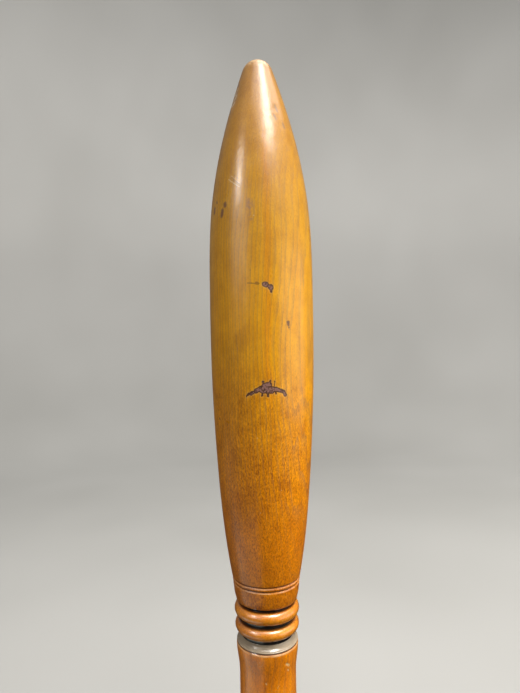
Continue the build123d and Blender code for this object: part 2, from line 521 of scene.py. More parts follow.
CUT_PAST_SIDES = 1.0                 # the saw cut runs out of the spigot by this much, in mm
CUT_PAST_TOP = 0.5
saw_cut = bmesh.new()
top, bottom = grip_high.z, grip_high.z - WEDGE_LENGTH * MM
reach = (SPIGOT_RADIUS + CUT_PAST_SIDES) * MM
section = [
    (-WEDGE_BOTTOM / 2 * MM, bottom),
    (WEDGE_BOTTOM / 2 * MM, bottom),
    (WEDGE_TOP / 2 * MM, top + CUT_PAST_TOP * MM),
    (-WEDGE_TOP / 2 * MM, top + CUT_PAST_TOP * MM),
]
ends = [[saw_cut.verts.new((side * reach, y, z)) for y, z in section] for side in (-1, 1)]
saw_cut.faces.new(reversed(ends[0]))
saw_cut.faces.new(ends[1])
for i in range(4):
    j = (i + 1) % 4
    saw_cut.faces.new((ends[0][i], ends[0][j], ends[1][j], ends[1][i]))
bmesh.ops.recalc_face_normals(saw_cut, faces=saw_cut.faces)
saw_mesh = bpy.data.meshes.new("saw_cut")
saw_cut.to_mesh(saw_mesh)
saw_cut.free()
cut_away(grip, saw_mesh)

# ---- pommel

pommel_outside = rounded_corners(even_rows(outside_points("pommel"), POMMEL_STEP), POMMEL_EDGE)
pommel_outside = [p for p in pommel_outside if p[0] > DOWEL_BORE + NEAR_BORE]
pommel_dents = [
    (25.0, 4.0, 2.2, 0.18),
    (140.0, 3.2, 2.6, 0.22),
    (262.0, 5.0, 2.4, 0.15),
    (310.0, 16.0, 1.8, 0.10),
]
pommel_rows = (
    [(0.0, CENTRE_MARK_DEPTH), (CENTRE_MARK_RADIUS, 0.0)]
    + pommel_outside
    + [(DOWEL_BORE, pommel_top), (DOWEL_BORE, DOWEL_SOCKET_BOTTOM), (0.0, DOWEL_SOCKET_BOTTOM)]
)
add_piece(
    "turned_pommel",
    turned_mesh(
        "turned_pommel",
        pommel_rows,
        POMMEL_SEGMENTS,
        only_outside(
            surface_relief(
                pommel_dents + scattered_dents(12, 2, 22, seed=51), wave=0.03, seed=52
            ),
            DOWEL_BORE + NEAR_BORE,
        ),
    ),
    "pommel",
    "ring_wood",
)


# ---- shader building

SURFACE_IOR = 1.5


class Shader:
    """One material's node tree, with short ways to add and join its nodes. Lengths are mm."""

    def __init__(self, name):
        self.material = bpy.data.materials.new(name)
        self.material.use_nodes = True
        self.nodes = self.material.node_tree.nodes
        self.links = self.material.node_tree.links
        self.nodes.clear()
        self.output = self.nodes.new("ShaderNodeOutputMaterial")
        coordinates = self.nodes.new("ShaderNodeTexCoord")
        self.place = self.vector("SCALE", coordinates.outputs["Object"], scale=1 / MM)
        split = self.nodes.new("ShaderNodeSeparateXYZ")
        self.put(split.inputs[0], self.place)
        self.x, self.y, self.z = split.outputs
        turned = self.math("ARCTAN2", self.x, self.math("MULTIPLY", self.y, -1))
        self.azimuth = self.math("MULTIPLY", turned, 180 / math.pi)

    def put(self, socket, value):
        if isinstance(value, bpy.types.NodeSocket):
            self.links.new(value, socket)
        else:
            socket.default_value = value

    def math(self, operation, a, b=0.0, clamp=False):
        node = self.nodes.new("ShaderNodeMath")
        node.operation = operation
        node.use_clamp = clamp
        self.put(node.inputs[0], a)
        self.put(node.inputs[1], b)
        return node.outputs[0]

    def multiply_add(self, a, b, c):
        total = self.math("MULTIPLY_ADD", a, b)
        self.put(total.node.inputs[2], c)
        return total

    def vector(self, operation, a, b=None, scale=None):
        node = self.nodes.new("ShaderNodeVectorMath")
        node.operation = operation
        self.put(node.inputs[0], a)
        if b is not None:
            self.put(node.inputs[1], b)
        if scale is not None:
            self.put(node.inputs["Scale"], scale)
        return node.outputs["Value" if operation in ("DOT_PRODUCT", "LENGTH") else "Vector"]

    def combine(self, x, y, z=0.0):
        node = self.nodes.new("ShaderNodeCombineXYZ")
        for socket, value in zip(node.inputs, (x, y, z)):
            self.put(socket, value)
        return node.outputs[0]

    def noise(self, cell, detail, roughness=0.5, place=None, seed=0.0):
        """Noise from 0 to 1 whose cells have the given sizes along x, y and z."""
        node = self.nodes.new("ShaderNodeTexNoise")
        scaled = self.vector("MULTIPLY_ADD", place or self.place, tuple(1 / size for size in cell))
        self.put(scaled.node.inputs[2], (seed, 0.7 * seed, 1.3 * seed))
        self.put(node.inputs["Vector"], scaled)
        self.put(node.inputs["Scale"], 1.0)
        self.put(node.inputs["Detail"], detail)
        self.put(node.inputs["Roughness"], roughness)
        return node.outputs[0]

    def rise(self, value, start, end):
        """0 before start, 1 after end, smooth in between."""
        node = self.nodes.new("ShaderNodeMapRange")
        node.interpolation_type = "SMOOTHSTEP"
        for socket, given in zip(node.inputs, (value, start, end, 0.0, 1.0)):
            self.put(socket, given)
        return node.outputs[0]

    def patches(self, cell, start, end, **noise_settings):
        """0 where noise with cells of these sizes stays below start, and 1 where it passes end."""
        return self.rise(self.noise(cell, **noise_settings), start, end)

    def fit(self, value, start, end, low, high):
        """Value from start..end carried to low..high, and held there."""
        node = self.nodes.new("ShaderNodeMapRange")
        for socket, given in zip(node.inputs, (value, start, end, low, high)):
            self.put(socket, given)
        return node.outputs[0]

    def band(self, value, low, high, soft):
        """1 from low to high, and 0 beyond a soft edge on both sides."""
        return self.times(self.rise(value, low - soft, low), self.rise(value, high + soft, high))

    def times(self, *values):
        product = values[0]
        for value in values[1:]:
            product = self.math("MULTIPLY", product, value)
        return product

    def ramp(self, value, *stops):
        """Colour from (position, red, green, blue) stops."""
        node = self.nodes.new("ShaderNodeValToRGB")
        elements = node.color_ramp.elements
        while len(elements) < len(stops):
            elements.new(0.5)
        for element, (position, *colour) in zip(elements, sorted(stops)):
            element.position = position
            element.color = (*colour, 1)
        self.put(node.inputs[0], value)
        return node.outputs[0]

    def stain(self, amount, colour, tint):
        """The colour darkened by the tint, as a varnish does."""
        return self.mix(amount, colour, tint, blend="MULTIPLY")

    def mix(self, amount, a, b, blend="MIX"):
        node = self.nodes.new("ShaderNodeMix")
        node.data_type = "RGBA"
        node.blend_type = blend
        self.put(node.inputs[0], amount)
        # Inputs 6 and 7 and output 2 are the Mix node's colours
        self.put(node.inputs[6], a if isinstance(a, bpy.types.NodeSocket) else (*a, 1))
        self.put(node.inputs[7], b if isinstance(b, bpy.types.NodeSocket) else (*b, 1))
        return node.outputs[2]

    def bump(self, height, distance, normal=None):
        """Bump from a 0 to 1 height, whose full depth is given in mm."""
        node = self.nodes.new("ShaderNodeBump")
        self.put(node.inputs["Strength"], 1.0)
        self.put(node.inputs["Distance"], distance * MM)
        self.put(node.inputs["Height"], height)
        if normal is not None:
            self.put(node.inputs["Normal"], normal)
        return node.outputs[0]

    def finish(
        self, colour, roughness, normal, coat=0.0, coat_roughness=0.1, specular=0.5, glow=0.0
    ):
        """Joins up the material's one surface shader and gives the material."""
        shader = self.nodes.new("ShaderNodeBsdfPrincipled")
        self.put(shader.inputs["Base Color"], colour)
        self.put(shader.inputs["Roughness"], roughness)
        self.put(shader.inputs["IOR"], SURFACE_IOR)
        self.put(shader.inputs["Specular IOR Level"], specular)
        if glow > 0:
            self.put(shader.inputs["Emission Color"], colour)
            self.put(shader.inputs["Emission Strength"], glow)
        self.put(shader.inputs["Coat Weight"], coat)
        self.put(shader.inputs["Coat Roughness"], coat_roughness)
        self.put(shader.inputs["Normal"], normal)
        if coat > 0:
            self.put(shader.inputs["Coat Normal"], normal)
        self.put(self.output.inputs["Surface"], shader.outputs[0])
        return self.material


# ---- wood

def growth_lines(shader, spacing, pith, seed):
    """0 in early wood and 1 on each late-wood line, for rings round a pith at (x, y) in mm."""
    sway = shader.math("SUBTRACT", shader.noise((26.0, 26.0, 110.0), detail=2.0, seed=seed), 0.5)
    jitter = shader.math("SUBTRACT", shader.noise((3.5, 3.5, 60.0), detail=1.0, seed=seed + 4), 0.5)
    from_pith = shader.vector("SUBTRACT", shader.combine(shader.x, shader.y), (*pith, 0.0))
    distance = shader.vector("LENGTH", from_pith)
    swayed = shader.multiply_add(sway, 9.0, distance)
    turns = shader.multiply_add(jitter, 2.2, swayed)
    phase = shader.math("FRACT", shader.math("DIVIDE", turns, spacing))
    late = shader.math("POWER", phase, 3.0)
    return shader.times(late, shader.rise(phase, 1.0, 0.93))


def wood_colour(shader, tone, line_strength, fleck_strength, pith, seed, spacing=1.7):
    """A base tone with growth lines, fibres, flecks and mottling, and a height for the bump."""
    lines = growth_lines(shader, spacing, pith, seed)
    fibres = shader.noise((0.42, 0.42, 9.0), detail=3.0, roughness=0.6, seed=seed + 1)
    streaks = shader.noise((1.7, 1.7, 46.0), detail=2.0, roughness=0.55, seed=seed + 2)
    flecks = shader.patches((0.5, 0.5, 1.7), 0.56, 0.70, detail=2.0, roughness=0.5, seed=seed + 3)
    mottle = shader.noise((6.5, 6.5, 10.0), detail=2.0, roughness=0.5, seed=seed + 5)
    grain = shader.noise((0.60, 0.60, 1.15), detail=4.0, roughness=0.68, seed=seed + 6)
    colour = shader.mix(shader.times(lines, line_strength), tone, (0.30, 0.17, 0.10))
    colour = shader.stain(shader.fit(streaks, 0.35, 0.68, 0.0, 0.34), colour, (0.80, 0.66, 0.50))
    colour = shader.stain(shader.fit(fibres, 0.36, 0.68, 0.0, 0.42), colour, (0.76, 0.68, 0.55))
    colour = shader.stain(shader.times(flecks, fleck_strength), colour, (0.55, 0.40, 0.30))
    uneven = shader.math("SUBTRACT", shader.fit(grain, 0.32, 0.68, 0.0, 1.0), 0.5)
    coarse = shader.multiply_add(shader.times(uneven, fleck_strength), -0.80, 1.0)
    speckle = shader.combine(coarse, shader.math("POWER", coarse, 1.4), 1.0)
    colour = shader.stain(1.0, colour, speckle)
    colour = shader.stain(shader.fit(mottle, 0.44, 0.70, 0.0, 0.5), colour, (0.76, 0.68, 0.56))
    height = shader.math("ADD", shader.times(fibres, 0.6), shader.times(flecks, -0.35))
    return colour, height


def line_segment(shader, point, start, end, thickness):
    """Signed distance in mm from a thick line between two (u, v) points, negative inside."""
    along = Vector((end[0] - start[0], end[1] - start[1], 0.0))
    from_start = shader.vector("SUBTRACT", point, (*start, 0.0))
    share = shader.math(
        "DIVIDE",
        shader.vector("DOT_PRODUCT", from_start, tuple(along)),
        max(along.length_squared, 1e-6),
        clamp=True,
    )
    reached = shader.vector("SCALE", tuple(along), scale=share)
    distance = shader.vector("LENGTH", shader.vector("SUBTRACT", from_start, reached))
    return shader.math("SUBTRACT", distance, thickness)


STROKE_BLEND = 0.25                  # how softly strokes run together, in mm


def stroke_shape(shader, point, strokes):
    """Signed distance from a shape drawn with (start, end, thickness) strokes."""
    shape = None
    for start, end, thickness in strokes:
        distance = line_segment(shader, point, start, end, thickness)
        if shape is None:
            shape = distance
        else:
            shape = shader.math("SMOOTH_MIN", shape, distance)
            shader.put(shape.node.inputs[2], STROKE_BLEND)
    return shape


def surface_point(shader, girth, ragged=0.5, cell=0.9):
    """(girth arc, height) in mm, pulled about a little so that outlines drawn in it are ragged."""
    arc = shader.math("MULTIPLY", shader.azimuth, girth * math.pi / 180)
    flat = shader.combine(arc, shader.z)
    wander = shader.nodes.new("ShaderNodeTexNoise")
    shader.put(wander.inputs["Vector"], shader.vector("SCALE", flat, scale=1 / cell))
    shader.put(wander.inputs["Scale"], 1.0)
    shader.put(wander.inputs["Detail"], 3.0)
    centred = shader.vector("SUBTRACT", wander.outputs["Color"], (0.5, 0.5, 0.5))
    pull = shader.vector("MULTIPLY", centred, (2 * ragged, 2 * ragged, 0.0))
    return shader.vector("ADD", flat, pull)


# Stains and lost varnish, drawn with strokes on the surface. A stroke is (start, end, half
# thickness), and a point is (arc from the front, height), all in mm. The arc is measured at the
# girth radius.

HEAD_GIRTH = 25.0
GRIP_GIRTH = 14.5
WING_PATCH = [
    ((-0.4, 277.9), (3.9, 277.7), 1.65),
    ((0.6, 279.6), (2.8, 280.3), 1.30),
    ((0.1, 280.6), (0.0, 281.6), 0.55),
    ((3.0, 280.8), (3.2, 281.9), 0.50),
    ((-0.8, 278.7), (-3.4, 277.4), 1.05),
    ((-3.2, 277.6), (-5.4, 276.0), 0.70),
    ((-4.8, 277.1), (-7.1, 275.6), 0.45),
    ((-6.8, 276.2), (-7.7, 274.9), 0.40),
    ((3.6, 278.5), (6.8, 277.7), 1.10),
    ((6.8, 277.7), (9.4, 276.8), 0.90),
    ((9.2, 277.0), (10.3, 275.2), 0.80),
    ((-0.3, 276.4), (-0.6, 275.2), 0.45),
    ((1.9, 276.2), (2.2, 274.8), 0.50),
    ((5.2, 277.4), (5.9, 276.0), 0.40),
    ((5.0, 278.6), (5.2, 281.8), 0.20),
]
TWIN_BLOB = [
    ((1.5, 325.5), (2.1, 325.3), 1.25),
    ((4.0, 324.4), (4.2, 324.0), 1.25),
    ((2.4, 325.0), (3.8, 324.5), 0.62),
    ((4.3, 323.4), (4.3, 322.2), 0.55),
]
FINE_LINE = [
    ((-6.2, 326.3), (-1.0, 326.0), 0.24),
    ((-2.1, 326.2), (-1.6, 325.9), 0.70),
    ((-15.0, 376.2), (-10.2, 372.2), 0.15),
    ((-13.2, 376.8), (-11.0, 375.0), 0.12),
]
SMALL_SPOTS = [
    ((12.2, 308.4), (12.2, 307.3), 0.70),
    ((12.5, 306.2), (12.5, 305.8), 0.36),
    ((-25.6, 263.8), (-25.2, 263.2), 0.40),
]
PURPLE_SPOTS = [
    ((-27.4, 363.6), (-27.6, 361.8), 0.95),
    ((-25.6, 366.6), (-25.2, 366.0), 0.55),
    ((-18.4, 364.2), (-18.2, 363.2), 1.00),
    ((-20.0, 361.2), (-20.3, 359.0), 1.05),
]
ABRASION = [
    ((-29.6, 421.0), (-25.8, 423.4), 0.80),
    ((-29.0, 417.8), (-24.6, 419.8), 0.70),
    ((-28.6, 414.8), (-25.0, 416.2), 0.55),
    ((-35.2, 402.2), (-34.2, 401.6), 0.90),
    ((-17.1, 375.6), (-10.2, 371.0), 0.20),
    ((-15.4, 376.9), (-13.2, 375.2), 0.16),
    ((-11.8, 373.9), (-9.9, 372.7), 0.12),
]
BRUISES = [
    ((-30.0, 427.0), (-25.6, 424.8), 1.10),
    ((-30.0, 419.4), (-25.4, 421.4), 0.90),
    ((-29.4, 416.2), (-25.0, 417.8), 0.80),
    ((-31.0, 412.6), (-28.6, 411.6), 0.90),
    ((-15.9, 375.9), (-10.0, 371.9), 0.10),
    ((14.6, 411.8), (15.4, 409.6), 1.00),
    ((12.0, 406.4), (12.8, 405.0), 0.90),
    ((18.6, 403.0), (19.2, 401.6), 1.00),
]
# Pale dots; the last one, at 356.9 mm, is a painted glint
PALE_DOTS_AND_GLINT = [
    ((-3.2, 256.0), (-3.1, 255.8), 0.20),
    ((8.6, 231.4), (8.7, 231.2), 0.16),
    ((-2.7, 221.2), (-2.5, 221.2), 0.18),
    ((-3.0, 356.9), (-2.9, 356.8), 0.30),
]
MAUVE_SMEAR = [((-5.0, 363.6), (-4.1, 356.6), 1.9)]
GRIP_CHIPS = [
    ((9.4, 145.8), (10.8, 144.6), 0.50),
    ((10.4, 142.6), (10.8, 142.0), 0.35),
    ((-1.1, 137.8), (-1.0, 137.6), 0.30),
]


def head_wood():
    shader = Shader("head_wood")
    rise = shader.math("DIVIDE", shader.math("SUBTRACT", shader.z, neck_mm), head_length)
    # Tone by height: more orange near the neck and yellower towards the nose, which is the wood's
    # own colour. It also darkens towards the nose, which is painted shade against the stronger lamp
    # light on the upward-tilted nose.
    tone = shader.ramp(
        rise,
        (0.00, 0.80, 0.255, 0.003),
        (0.12, 0.86, 0.270, 0.002),
        (0.28, 0.93, 0.350, 0.003),
        (0.45, 0.93, 0.430, 0.006),
        (0.56, 0.88, 0.420, 0.010),
        (0.70, 0.70, 0.345, 0.016),
        (0.85, 0.53, 0.250, 0.018),
        (1.00, 0.42, 0.195, 0.025),
    )
    low_part = shader.rise(rise, 0.50, 0.22)
    flecks = shader.multiply_add(low_part, 0.60, 0.26)
    lines = shader.multiply_add(shader.band(shader.z, 240.0, 365.0, 40.0), 0.34, 0.14)
    colour, height = wood_colour(
        shader, tone, line_strength=lines, fleck_strength=flecks, pith=(-96.0, 34.0), seed=2.0
    )

    # A warm heart streak down the front, and painted shade on the lower left side, broken into
    # patches
    sway = shader.math("SUBTRACT", shader.noise((30.0, 30.0, 16.0), detail=2.0, seed=7.0), 0.5)
    from_front = shader.math("ADD", shader.azimuth, shader.times(sway, 14.0))
    beside = shader.math("ABSOLUTE", shader.math("SUBTRACT", from_front, 7.0))
    streak = shader.times(
        shader.rise(beside, 6.0, 1.0), shader.band(shader.z, 285.0, 385.0, 30.0), 0.5
    )
    colour = shader.stain(streak, colour, (1.0, 0.78, 0.45))
    left_shade_patches = shader.patches((9.0, 9.0, 16.0), 0.42, 0.66, detail=3.0, seed=9.0)
    lower_left_painted_shade = shader.times(
        shader.rise(shader.azimuth, 4.0, -22.0),
        shader.rise(rise, 0.66, 0.40),
        shader.fit(left_shade_patches, 0.0, 1.0, 0.35, 1.0),
        0.62,
    )
    colour = shader.stain(lower_left_painted_shade, colour, (0.62, 0.58, 0.62))
    front_grime = shader.times(
        shader.patches((5.0, 5.0, 7.0), 0.50, 0.68, detail=3.0, roughness=0.6, seed=12.0),
        shader.band(shader.z, 225.0, 272.0, 20.0),
        0.45,
    )
    colour = shader.stain(front_grime, colour, (0.66, 0.52, 0.40))

    # Stained patches where the varnish has gone
    flat = surface_point(shader, HEAD_GIRTH)
    dark_shapes = stroke_shape(shader, flat, WING_PATCH + TWIN_BLOB)
    inside = shader.rise(dark_shapes, 0.10, -0.10)
    core = shader.rise(dark_shapes, -0.30, -0.62)
    halo = shader.times(shader.rise(dark_shapes, 0.75, 0.15), 0.22)
    colour = shader.mix(halo, colour, (0.72, 0.46, 0.16))
    broken = shader.patches((0.8, 0.8, 1.0), 0.34, 0.56, detail=3.0, seed=14.0)
    patch = shader.mix(shader.times(core, broken), (0.050, 0.016, 0.010), (0.290, 0.150, 0.130))
    colour = shader.mix(shader.times(inside, 0.96), colour, patch)

    soft_flat = surface_point(shader, HEAD_GIRTH, ragged=0.35, cell=1.3)
    spots = shader.rise(stroke_shape(shader, soft_flat, SMALL_SPOTS), 0.22, -0.22)
    colour = shader.mix(shader.times(spots, 0.85), colour, (0.085, 0.032, 0.038))
    purple = shader.rise(stroke_shape(shader, soft_flat, PURPLE_SPOTS), 0.60, -0.60)
    colour = shader.mix(shader.times(purple, 0.78), colour, (0.110, 0.040, 0.050))
    bruises = shader.rise(stroke_shape(shader, soft_flat, BRUISES), 0.60, -0.60)
    colour = shader.mix(shader.times(bruises, 0.60), colour, (0.180, 0.110, 0.080))
    rubs = shader.rise(stroke_shape(shader, soft_flat, ABRASION), 0.16, -0.16)
    patchy = shader.noise((0.9, 0.9, 0.9), detail=2.0, seed=15.0)
    patchy = shader.fit(patchy, 0.38, 0.60, 0.30, 0.80)
    colour = shader.mix(shader.times(rubs, patchy), colour, (0.900, 0.760, 0.540))
    fine = shader.rise(stroke_shape(shader, soft_flat, FINE_LINE), 0.16, -0.14)
    colour = shader.mix(shader.times(fine, 0.65), colour, (0.160, 0.060, 0.020))
    smear = shader.times(
        shader.rise(stroke_shape(shader, soft_flat, MAUVE_SMEAR), 0.7, -1.3),
        shader.patches((1.6, 1.6, 2.4), 0.36, 0.62, detail=3.0, seed=17.0),
        0.62,
    )
    colour = shader.mix(smear, colour, (0.250, 0.130, 0.115))
    # Pale dots, one of them a painted glint
    pale_dots_and_glint = shader.rise(stroke_shape(shader, soft_flat, PALE_DOTS_AND_GLINT), 0.12, -0.10)
    colour = shader.mix(shader.times(pale_dots_and_glint, 0.55), colour, (0.78, 0.58, 0.28))

    # Near-black in the scribed lines, a paler broken band just under each, and a rubbed nose
    for scribe in SCRIBE_HEIGHTS:
        groove = shader.band(shader.z, scribe - 0.05, scribe + 0.20, 0.22)
        colour = shader.mix(shader.times(groove, 0.80), colour, (0.050, 0.020, 0.010))
        arris = shader.times(
            shader.band(shader.z, scribe - 0.74, scribe - 0.48, 0.18),
            shader.fit(
                shader.noise((3.0, 3.0, 9.0), detail=2.0, seed=18.0), 0.35, 0.65, 0.10, 0.62
            ),
        )
        colour = shader.mix(arris, colour, (0.84, 0.56, 0.30))
    neck_dirt = shader.times(
        shader.band(shader.z, neck_mm, SCRIBE_HEIGHTS[0], 2.5),
        shader.patches((4.0, 4.0, 3.0), 0.34, 0.66, detail=3.0, seed=19.0),
        0.50,
    )
    colour = shader.stain(neck_dirt, colour, (0.66, 0.56, 0.56))
    rubbed = shader.times(
        shader.rise(shader.z, tip_mm - 7.0, tip_mm - 1.0),
        shader.patches((1.4, 1.4, 1.4), 0.36, 0.60, detail=3.0, seed=21.0),
        0.6,
    )
    colour = shader.mix(rubbed, colour, (0.80, 0.58, 0.30))

    # Fine scratches: long thin cells, kept only where their noise peaks
    scratch_field = shader.noise((0.16, 0.16, 5.0), detail=1.0, seed=23.0)
    scratches = shader.times(
        shader.rise(scratch_field, 0.66, 0.72),
        shader.patches((7.0, 7.0, 9.0), 0.48, 0.62, detail=1.0, seed=25.0),
    )
    tilted = shader.combine(
        shader.math("ADD", shader.x, shader.times(shader.z, 0.45)),
        shader.math("ADD", shader.z, shader.times(shader.x, -0.45)),
    )
    cross = shader.times(
        shader.patches((9.0, 0.20, 1.0), 0.70, 0.75, detail=1.0, place=tilted, seed=27.0),
        shader.band(shader.z, 355.0, 432.0, 10.0),
    )
    marks = shader.math("MAXIMUM", scratches, cross)

    wear = shader.noise((11.0, 11.0, 20.0), detail=4.0, roughness=0.6, seed=29.0)
    roughness = shader.fit(wear, 0.3, 0.7, 0.27, 0.38)
    roughness = shader.math("ADD", roughness, shader.times(inside, 0.25))
    roughness = shader.math("ADD", roughness, shader.times(marks, 0.15), clamp=True)
    normal = shader.bump(height, 0.030)
    peel = shader.noise((1.5, 1.5, 2.2), detail=3.0, roughness=0.5, seed=31.0)
    normal = shader.bump(peel, 0.035, normal)
    pores = shader.noise((0.50, 0.50, 0.95), detail=3.0, roughness=0.6, seed=33.0)
    normal = shader.bump(pores, 0.036, normal)
    normal = shader.bump(shader.math("MAXIMUM", marks, shader.times(inside, 0.8)), -0.05, normal)
    return shader.finish(colour, roughness, normal, coat=0.50, coat_roughness=0.17, specular=0.28)


def ring_wood():
    shader = Shader("ring_wood")
    tone = shader.ramp(
        shader.noise((16.0, 16.0, 5.0), detail=1.0, seed=41.0),
        (0.3, 0.74, 0.235, 0.003),
        (0.7, 0.92, 0.330, 0.006),
    )
    colour, height = wood_colour(
        shader, tone, line_strength=0.16, fleck_strength=0.45, pith=(-70.0, 58.0), seed=43.0
    )
    turns = shader.noise((60.0, 60.0, 0.16), detail=2.0, seed=45.0)
    radius = shader.vector("LENGTH", shader.combine(shader.x, shader.y))
    in_groove = shader.times(shader.rise(radius, 14.7, 13.6), shader.rise(shader.z, 100.0, 110.0))
    colour = shader.mix(shader.times(in_groove, 0.85), colour, (0.050, 0.018, 0.010))
    for line_z in POMMEL_SCRIBES:
        scribed = shader.band(shader.z, line_z - 0.15, line_z + 0.2, 0.2)
        colour = shader.mix(shader.times(scribed, 0.8), colour, (0.035, 0.014, 0.008))
    worn = shader.times(
        shader.rise(radius, 15.2, 16.2),
        shader.patches((2.2, 2.2, 1.6), 0.50, 0.66, detail=3.0, seed=47.0),
        0.4,
    )
    colour = shader.mix(worn, colour, (0.74, 0.40, 0.10))
    standing = shader.times(
        shader.rise(shader.z, 2.2, 0.2),
        shader.patches((2.6, 2.6, 2.0), 0.38, 0.60, detail=3.0, seed=49.0),
        0.75,
    )
    colour = shader.mix(standing, colour, (0.60, 0.42, 0.24))
    wear = shader.noise((5.0, 5.0, 3.0), detail=3.0, seed=51.0)
    roughness = shader.fit(wear, 0.3, 0.7, 0.24, 0.38)
    roughness = shader.math("ADD", roughness, shader.times(standing, 0.4), clamp=True)
    normal = shader.bump(height, 0.020)
    normal = shader.bump(turns, 0.020, normal)
    return shader.finish(colour, roughness, normal, coat=1.0, coat_roughness=0.20, specular=0.80)


def grip_wood():
    shader = Shader("grip_wood")
    down = shader.noise((3.2, 3.2, 38.0), detail=3.0, roughness=0.55, seed=61.0)
    tone = shader.ramp(
        down,
        (0.30, 1.00, 0.350, 0.003),
        (0.50, 0.95, 0.295, 0.003),
        (0.72, 0.60, 0.170, 0.003),
    )
    colour, height = wood_colour(
        shader, tone, 0.28, fleck_strength=0.5, pith=(62.0, 78.0), seed=63.0, spacing=2.1
    )
    handled = shader.times(
        shader.band(shader.z, 36.0, 108.0, 18.0),
        shader.patches((12.0, 12.0, 20.0), 0.34, 0.66, detail=3.0, seed=65.0),
        0.42,
    )
    colour = shader.stain(handled, colour, (0.60, 0.50, 0.44))
    chips = shader.times(
        shader.patches((0.8, 0.8, 1.3), 0.62, 0.67, detail=3.0, roughness=0.6, seed=67.0),
        shader.patches((5.0, 5.0, 6.0), 0.56, 0.64, detail=1.0, seed=69.0),
    )
    colour = shader.mix(shader.times(chips, 0.75), colour, (0.80, 0.50, 0.20))
    flat = surface_point(shader, GRIP_GIRTH, ragged=0.5, cell=0.8)
    bare = shader.rise(stroke_shape(shader, flat, GRIP_CHIPS), 0.25, -0.2)
    colour = shader.mix(shader.times(bare, 0.8), colour, (0.80, 0.52, 0.22))

    lip_z = collar_mm - LIP_DROP
    vee = shader.band(shader.z, lip_z + 0.30, lip_z + 0.75, 0.22)
    colour = shader.mix(shader.times(vee, 0.8), colour, (0.040, 0.016, 0.008))
    arris = shader.times(
        shader.band(shader.z, lip_z - 0.45, lip_z + 0.02, 0.30),
        shader.fit(shader.noise((2.4, 2.4, 2.0), detail=2.0, seed=71.0), 0.35, 0.6, 0.35, 1.0),
        0.8,
    )
    colour = shader.mix(arris, colour, (0.86, 0.52, 0.24))
    # The cove is given a pale grey-beige colour as a painted reflection of the lights above, and is
    # made glossier
    cove_gloss_and_painted_reflection = shader.rise(shader.z, lip_z + 0.55, lip_z + 0.85)
    colour = shader.mix(shader.times(cove_gloss_and_painted_reflection, 0.92), colour, (0.340, 0.300, 0.220))
    radius = shader.vector("LENGTH", shader.combine(shader.x, shader.y))
    spigot = shader.rise(radius, 12.4, 11.6)
    colour = shader.mix(spigot, colour, (0.62, 0.42, 0.24))

    wear = shader.noise((8.0, 8.0, 18.0), detail=4.0, roughness=0.6, seed=73.0)
    roughness = shader.fit(wear, 0.3, 0.7, 0.26, 0.42)
    lost_varnish = shader.math("MAXIMUM", bare, chips)
    roughness = shader.math("ADD", roughness, shader.times(lost_varnish, 0.3))
    roughness = shader.math("SUBTRACT", roughness, shader.times(cove_gloss_and_painted_reflection, 0.14))
    roughness = shader.math("ADD", roughness, shader.times(spigot, 0.45), clamp=True)
    normal = shader.bump(height, 0.035)
    peel = shader.noise((1.3, 1.3, 2.4), detail=3.0, seed=75.0)
    normal = shader.bump(peel, 0.035, normal)
    normal = shader.bump(lost_varnish, -0.06, normal)
    return shader.finish(colour, roughness, normal, coat=0.55, coat_roughness=0.15, specular=0.42)


def black_spacer():
    shader = Shader("black_spacer")
    dust = shader.noise((2.0, 2.0, 0.7), detail=4.0, roughness=0.65, seed=81.0)
    colour = shader.ramp(
        dust, (0.35, 0.006, 0.005, 0.004), (0.62, 0.022, 0.016, 0.012), (0.80, 0.070, 0.050, 0.035)
    )
    roughness = shader.fit(dust, 0.3, 0.7, 0.12, 0.30)
    turns = shader.noise((50.0, 50.0, 0.22), detail=2.0, seed=83.0)
    normal = shader.bump(turns, 0.02)
    return shader.finish(colour, roughness, normal, coat=1.0, coat_roughness=0.14, specular=0.6)


def bare_wood():
    shader = Shader("bare_wood")
    tone = shader.ramp(
        shader.noise((5.0, 5.0, 24.0), detail=2.0, seed=91.0),
        (0.3, 0.62, 0.43, 0.25),
        (0.7, 0.52, 0.34, 0.18),
    )
    colour, height = wood_colour(
        shader, tone, 0.30, fleck_strength=0.5, pith=(40.0, 25.0), seed=93.0, spacing=1.6
    )
    wear = shader.noise((3.0, 3.0, 8.0), detail=3.0, seed=95.0)
    roughness = shader.fit(wear, 0.3, 0.7, 0.55, 0.75)
    return shader.finish(colour, roughness, shader.bump(height, 0.06))


finishes = {
    "head_wood": head_wood(),
    "ring_wood": ring_wood(),
    "grip_wood": grip_wood(),
    "black_spacer": black_spacer(),
    "bare_wood": bare_wood(),
}
for piece in list(bpy.context.scene.objects):
    if piece.name.startswith("turned_"):
        piece.data.materials.clear()
        piece.data.materials.append(finishes[piece["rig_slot"]])
for node in ("spigot_wedge", "pommel_dowel"):
    carried = frame["nodes"][node]
    if carried.material_slots:
        carried.material_slots[0].material = finishes["bare_wood"]
    else:
        carried.data.materials.append(finishes["bare_wood"])

# ---- stage: floor that curves up into a wall

